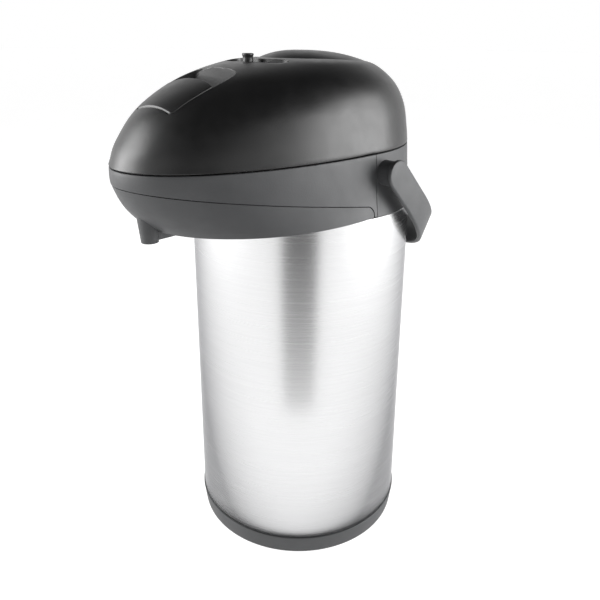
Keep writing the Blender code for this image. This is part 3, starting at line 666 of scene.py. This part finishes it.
def build_button(black):
    rings = []
    segments = 160
    rim, top = BUTTON_RIM, BUTTON_TOP
    levels = [(1.0, rim - BUTTON_SKIRT), (1.0, rim - 0.9 * MM), (0.998, rim - 0.45 * MM),
              (0.992, rim - 0.1 * MM), (0.985, rim)]
    for step in range(1, 25):
        scale = 0.985 * (1 - step / 24.5)
        levels.append((scale, rim + (top - rim) * (1 - (scale / 0.985) ** 2.4)))
    for scale, z in levels:
        shift = max(0.0, 1 - scale / 0.985) * (BUTTON_APEX_Y - BUTTON_Y)
        radius = BUTTON_RADIUS * scale
        rings.append([Vector((radius * math.sin(2 * math.pi * k / segments),
                              BUTTON_Y + shift + radius * math.cos(2 * math.pi * k / segments), z))
                      for k in range(segments)])
    button = loft(rings)
    cut(button, turned([(0.0, 405.0), (43.6, 405.0), (43.6, 419.4), (34.0, 423.0), (0.0, 426.0)],
                       128, BUTTON_Y))
    join(button, turned([(20.0, 411.4), (31.0, 411.4), (31.0, 426.0), (20.0, 426.0)], 96, BUTTON_Y))
    piece(button, "button_cap", black, "button", ["pump_button"])


def build_lock(black):
    plate = plan_prism(lock_slot(13.0, math.radians(18)), 413.4 * MM, 415.4 * MM)
    peg_y = BUTTON_Y - LOCK_RADIUS
    profile = [(0.0, 414.6), (4.3, 414.6), (4.3, 420.0), (4.1, 422.5), (3.9, 424.0), (4.1, 425.2),
               (4.55, 426.3), (4.55, 427.0), (4.2, 427.5), (3.6, 427.6), (0.0, 427.6)]
    join(plate, turned(profile, 64, peg_y))
    piece(plate, "lock_peg", black, "lock", ["lock_slider"])


def build_lever(satin):
    pad = plan_prism(lever_plan(), 350 * MM, 440 * MM)
    common(pad, lid_form(-0.35 * MM, SEAM_HALF_GAP))
    cut(pad, lid_form(2.6 * MM, -6 * MM))
    rounded(pad, 0.8 * MM, 4, 50.0)
    arm = side_prism([(-139.5, 391.0), (-139.5, 382.0), (-149.0, 372.0), (-150.5, 345.0),
                      (-157.5, 343.4), (-157.5, 339.6), (-145.5, 339.6), (-143.0, 370.0),
                      (-130.5, 383.0), (-130.5, 395.0)], 5.6 * MM)
    join(pad, arm)
    cut(pad, cylinder((-30 * MM, LEVER_PIN_Y, LEVER_PIN_Z), (30 * MM, LEVER_PIN_Y, LEVER_PIN_Z),
                      LEVER_PIN_RADIUS + 0.3 * MM, segments=24))
    piece(pad, "lever_pad", satin, "lever", ["release_lever"])


def handle_section(x, out_x, out_run, run, width):
    """A flat section with round corners: out_x and out_run say which way its outer face looks."""
    y, z, angle = handle_side(run)
    hang = Vector((0.0, math.sin(angle), -math.cos(angle)))
    across = Vector((0.0, math.cos(angle), math.sin(angle)))
    outward = Vector((out_x, 0.0, 0.0)) + hang * out_run
    middle = Vector((x, y, z))
    half, thick, edge = width / 2, HANDLE_THICK / 2, min(1.7 * MM, width / 5)
    corners = []
    for turn in range(4):
        side_sign = 1 if turn in (0, 1) else -1
        out_sign = 1 if turn in (0, 3) else -1
        for step in range(5):
            angle = math.pi / 2 * step / 4
            if turn in (1, 3):
                angle = math.pi / 2 - angle
            corners.append((out_sign * (thick - edge + edge * math.cos(angle)),
                            side_sign * (half - edge + edge * math.sin(angle))))
    return [middle + outward * out + across * side for out, side in corners]


def build_handle(charcoal):
    """One strap: round end, straight arm, half turn behind the body, and the other arm."""
    reach = HANDLE_INNER + HANDLE_THICK / 2
    half = HANDLE_WIDTH / 2
    arm = []
    for step in range(1, 17):
        angle = math.pi / 2 * (1 - step / 16)
        arm.append((reach, 1.0, 0.0, -half * math.sin(angle), 2 * half * math.cos(angle)))
    arm[-1] = (reach, 1.0, 0.0, 0.0, HANDLE_WIDTH)
    for step in range(1, 8):
        arm.append((reach, 1.0, 0.0, HANDLE_STRAIGHT * step / 8, HANDLE_WIDTH))
    turn = []
    for step in range(97):
        angle = math.pi * step / 96
        out_x, out_run = math.cos(angle), math.sin(angle)
        width = HANDLE_WIDTH + (HANDLE_GRIP - HANDLE_WIDTH) * out_run
        turn.append((reach * out_x, out_x, out_run, HANDLE_STRAIGHT + HANDLE_TURN * out_run, width))
    other = [(-x, -out_x, out_run, run, width) for x, out_x, out_run, run, width in reversed(arm)]
    strap = loft([handle_section(*section) for section in arm + turn + other])
    face_out(strap)
    piece(strap, "carrying_strap", charcoal, "handle", ["carrying_handle"])


def build_body(steel, charcoal):
    wall = BODY_RADIUS / MM
    shell = turned([(wall - 1.0, 17.0), (wall - 0.25, 17.0), (wall, 17.3), (wall, 306.0),
                    (wall - 0.2, 306.2), (wall - 1.0, 306.2)], 256)
    piece(shell, "steel_jacket", steel, "pot", ["outer_shell"])

    foot = arc((92.2, 1.8), 1.8, -90, -10, 6)
    rim = arc((95.3, 15.9), 0.6, -5, 90, 5)
    base = turned([(0.0, 0.0)] + foot + rim + [(93.6, 16.5),
                   (93.6, 24.0), (91.2, 24.0), (91.2, 4.0), (66.0, 4.0), (66.0, 12.0), (63.0, 12.0),
                   (63.0, 4.0), (0.0, 4.0)], 192)
    for number in range(3):
        x, y = screw_place(number)
        cut(base, cylinder((x, y, -MM), (x, y, 6 * MM), 1.9 * MM, segments=32))
        cut(base, cylinder((x, y, -MM), (x, y, 1.8 * MM), 4.2 * MM, segments=48))
    piece(base, "base_ring", charcoal, "pot", ["base_cap"])


# ---------------------------------------------------------------- stage

def area_light(name, place, target, size, power, color=(1.0, 1.0, 1.0)):
    data = bpy.data.lights.new(name, "AREA")
    data.shape = "RECTANGLE"
    data.size, data.size_y = size
    data.energy = power
    data.color = color
    item = bpy.data.objects.new(name, data)
    bpy.context.scene.collection.objects.link(item)
    item.location = place
    direction = Vector(target) - Vector(place)
    item.rotation_euler = direction.to_track_quat("-Z", "Y").to_euler()
    return item


def build_world():
    """A pale studio: bright all round, with a dim strip behind the camera and a dim ceiling."""
    world = bpy.data.worlds.new("studio")
    bpy.context.scene.world = world
    world.use_nodes = True
    tree = world.node_tree
    background = tree.nodes["Background"]
    coordinates = tree.nodes.new("ShaderNodeTexCoord")
    split = tree.nodes.new("ShaderNodeSeparateXYZ")
    tree.links.new(coordinates.outputs["Generated"], split.inputs[0])
    azimuth = math.radians(CAMERA_AZIMUTH)
    flat = tree.nodes.new("ShaderNodeVectorMath")
    flat.operation = "MULTIPLY"
    flat.inputs[1].default_value = (1.0, 1.0, 0.0)
    unit = tree.nodes.new("ShaderNodeVectorMath")
    unit.operation = "NORMALIZE"
    facing = tree.nodes.new("ShaderNodeVectorMath")
    facing.operation = "DOT_PRODUCT"
    facing.inputs[1].default_value = (math.sin(azimuth), -math.cos(azimuth), 0.0)
    tree.links.new(coordinates.outputs["Generated"], flat.inputs[0])
    tree.links.new(flat.outputs[0], unit.inputs[0])
    tree.links.new(unit.outputs[0], facing.inputs[0])
    strip = tree.nodes.new("ShaderNodeMapRange")
    strip.interpolation_type = "SMOOTHSTEP"
    strip.inputs["From Min"].default_value = 0.90
    strip.inputs["From Max"].default_value = 0.97
    strip.inputs["To Min"].default_value = 1.0
    strip.inputs["To Max"].default_value = STRIP_LEVEL
    tree.links.new(facing.outputs["Value"], strip.inputs["Value"])
    ceiling = tree.nodes.new("ShaderNodeMapRange")
    ceiling.interpolation_type = "SMOOTHSTEP"
    ceiling.inputs["From Min"].default_value = 0.35
    ceiling.inputs["From Max"].default_value = 0.75
    ceiling.inputs["To Min"].default_value = 1.0
    ceiling.inputs["To Max"].default_value = CEILING_LEVEL
    tree.links.new(split.outputs["Z"], ceiling.inputs["Value"])
    level = tree.nodes.new("ShaderNodeMath")
    level.operation = "MULTIPLY"
    tree.links.new(strip.outputs["Result"], level.inputs[0])
    tree.links.new(ceiling.outputs["Result"], level.inputs[1])
    tree.links.new(level.outputs[0], background.inputs["Strength"])
    background.inputs["Color"].default_value = (1.0, 1.0, 1.0, 1.0)


def build_floor():
    bm = bmesh.new()
    bmesh.ops.create_grid(bm, x_segments=1, y_segments=1, size=40.0)
    floor = mesh_object("floor", bm)
    floor.location.z = -0.0003
    material, tree, shader = new_material("studio_floor")
    tone = spread(tree, noise(tree, 3.0, 2.0), 0.0, 1.0)
    color = blend_colors(tree, tone, (0.36, 0.36, 0.36), (0.40, 0.40, 0.40))
    tree.links.new(color, shader.inputs["Base Color"])
    shader.inputs["Roughness"].default_value = 0.9
    shader.inputs["Specular IOR Level"].default_value = 0.1
    shader.inputs["Emission Color"].default_value = (1.0, 1.0, 1.0, 1.0)
    shader.inputs["Emission Strength"].default_value = FLOOR_GLOW
    floor.data.materials.append(material)


def build_flag():
    """A dim card beside the camera, seen only where the piece mirrors it: it paints a dark reflection,
    glowing brighter towards its foot.
    """
    azimuth = math.radians(CAMERA_AZIMUTH)
    bm = bmesh.new()
    bmesh.ops.create_grid(bm, x_segments=1, y_segments=1, size=0.5)
    bmesh.ops.scale(bm, vec=(FLAG_WIDTH, FLAG_HEIGHT, 1.0), verts=bm.verts[:])
    bmesh.ops.rotate(bm, matrix=Matrix.Rotation(math.radians(90), 3, "X"), verts=bm.verts[:])
    flag = mesh_object("flag", bm)
    flag.rotation_euler.z = azimuth
    flag.location = (FLAG_REACH * math.sin(azimuth), -FLAG_REACH * math.cos(azimuth), FLAG_HEIGHT / 2)
    material, tree, shader = new_material("painted_reflection_card")
    shader.inputs["Base Color"].default_value = (0.02, 0.02, 0.02, 1.0)
    shader.inputs["Roughness"].default_value = 1.0
    shader.inputs["Specular IOR Level"].default_value = 0.0
    coordinates = tree.nodes.new("ShaderNodeTexCoord")
    split = tree.nodes.new("ShaderNodeSeparateXYZ")
    tree.links.new(coordinates.outputs["Object"], split.inputs[0])
    # Painted reflection: the card glows 0.85 at its foot, fading to 0.14 higher up, so the dark band it
    # paints lightens towards the bottom.
    glow = spread(tree, split.outputs["Z"], 0.85, 0.14, -FLAG_HEIGHT / 2, 0.08)
    tree.links.new(glow, shader.inputs["Emission Strength"])
    shader.inputs["Emission Color"].default_value = (1.0, 1.0, 1.0, 1.0)
    flag.data.materials.append(material)
    flag.visible_camera = False
    flag.visible_diffuse = False
    flag.visible_shadow = False


def build_camera():
    azimuth = math.radians(CAMERA_AZIMUTH)
    pitch = math.radians(CAMERA_PITCH)
    roll = math.radians(CAMERA_ROLL)
    place = Vector((CAMERA_REACH * math.sin(azimuth), -CAMERA_REACH * math.cos(azimuth), CAMERA_HEIGHT))
    forward = Matrix.Rotation(azimuth, 3, "Z") @ Vector((0.0, math.cos(pitch), -math.sin(pitch)))
    side = forward.cross(Vector((0.0, 0.0, 1.0))).normalized()
    up = side.cross(forward)
    right = math.cos(roll) * side + math.sin(roll) * up
    top = math.cos(roll) * up - math.sin(roll) * side
    data = bpy.data.cameras.new("camera")
    data.sensor_width = 36.0
    data.lens = 37.38
    data.shift_y = -0.095
    data.clip_start = 0.01
    camera = bpy.data.objects.new("camera", data)
    bpy.context.scene.collection.objects.link(camera)
    camera.matrix_world = Matrix((
        (right.x, top.x, -forward.x, place.x),
        (right.y, top.y, -forward.y, place.y),
        (right.z, top.z, -forward.z, place.z),
        (0.0, 0.0, 0.0, 1.0)))
    bpy.context.scene.camera = camera


bpy.context.scene.view_settings.view_transform = "Standard"
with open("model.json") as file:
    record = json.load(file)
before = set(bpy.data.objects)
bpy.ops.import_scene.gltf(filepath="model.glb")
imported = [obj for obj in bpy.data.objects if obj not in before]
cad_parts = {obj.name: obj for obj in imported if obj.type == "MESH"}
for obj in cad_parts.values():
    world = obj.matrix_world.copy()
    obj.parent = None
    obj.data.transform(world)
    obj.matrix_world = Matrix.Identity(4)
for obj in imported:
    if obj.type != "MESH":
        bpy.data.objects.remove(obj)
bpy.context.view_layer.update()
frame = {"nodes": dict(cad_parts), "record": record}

finishes = {
    "black_plastic": moulded("satin_black", (0.0025, 0.0025, 0.0027), (0.0055, 0.0055, 0.0057),
                             (0.34, 0.43), 1100.0, 0.25, 0.45 * MM),
    "charcoal_plastic": moulded("grained_charcoal", (0.034, 0.035, 0.037), (0.046, 0.047, 0.049),
                                (0.50, 0.60), 900.0, 0.5, 0.4 * MM),
    "brushed_steel": brushed("brushed_jacket", (0.66, 0.66, 0.665), (0.71, 0.71, 0.715),
                             (0.24, 0.28), 6500.0, 0.03, 0.55),
    "liner_steel": brushed("drawn_liner", (0.55, 0.55, 0.56), (0.68, 0.68, 0.69),
                           (0.16, 0.26), 900.0, 0.15, 0.3),
    "fastener_steel": plated("bright_fastener", (0.42, 0.42, 0.44), (0.60, 0.60, 0.62), (0.24, 0.4)),
    "white_silicone": soft_rubber("white_silicone", (0.66, 0.65, 0.61), (0.78, 0.77, 0.73)),
    "milky_plastic": soft_rubber("milky_polymer", (0.58, 0.58, 0.54), (0.70, 0.70, 0.66)),
}
for entry in frame["record"]["subparts"]:
    node = frame["nodes"][entry["node"]]
    node.data.materials.clear()
    node.data.materials.append(finishes[entry["material_slot"]])

build_body(finishes["brushed_steel"], finishes["charcoal_plastic"])
build_collar(finishes["charcoal_plastic"])
build_lid(finishes["black_plastic"])
build_button(finishes["black_plastic"])
build_lock(finishes["black_plastic"])
build_lever(finishes["black_plastic"])
build_handle(finishes["charcoal_plastic"])
soft_copy(frame["nodes"]["bellows"], "pump_bellows", finishes["white_silicone"])
soft_copy(frame["nodes"]["bellows_spring"], "pump_spring", finishes["fastener_steel"])
build_floor()
build_flag()
build_world()
build_camera()
area_light("left_softbox", (-0.95, -1.05, 0.75), (0.0, -0.05, 0.30), (1.0, 1.2), 30.0)
area_light("right_softbox", (1.05, 0.75, 0.55), (0.0, 0.0, 0.30), (0.9, 1.1), 26.0)
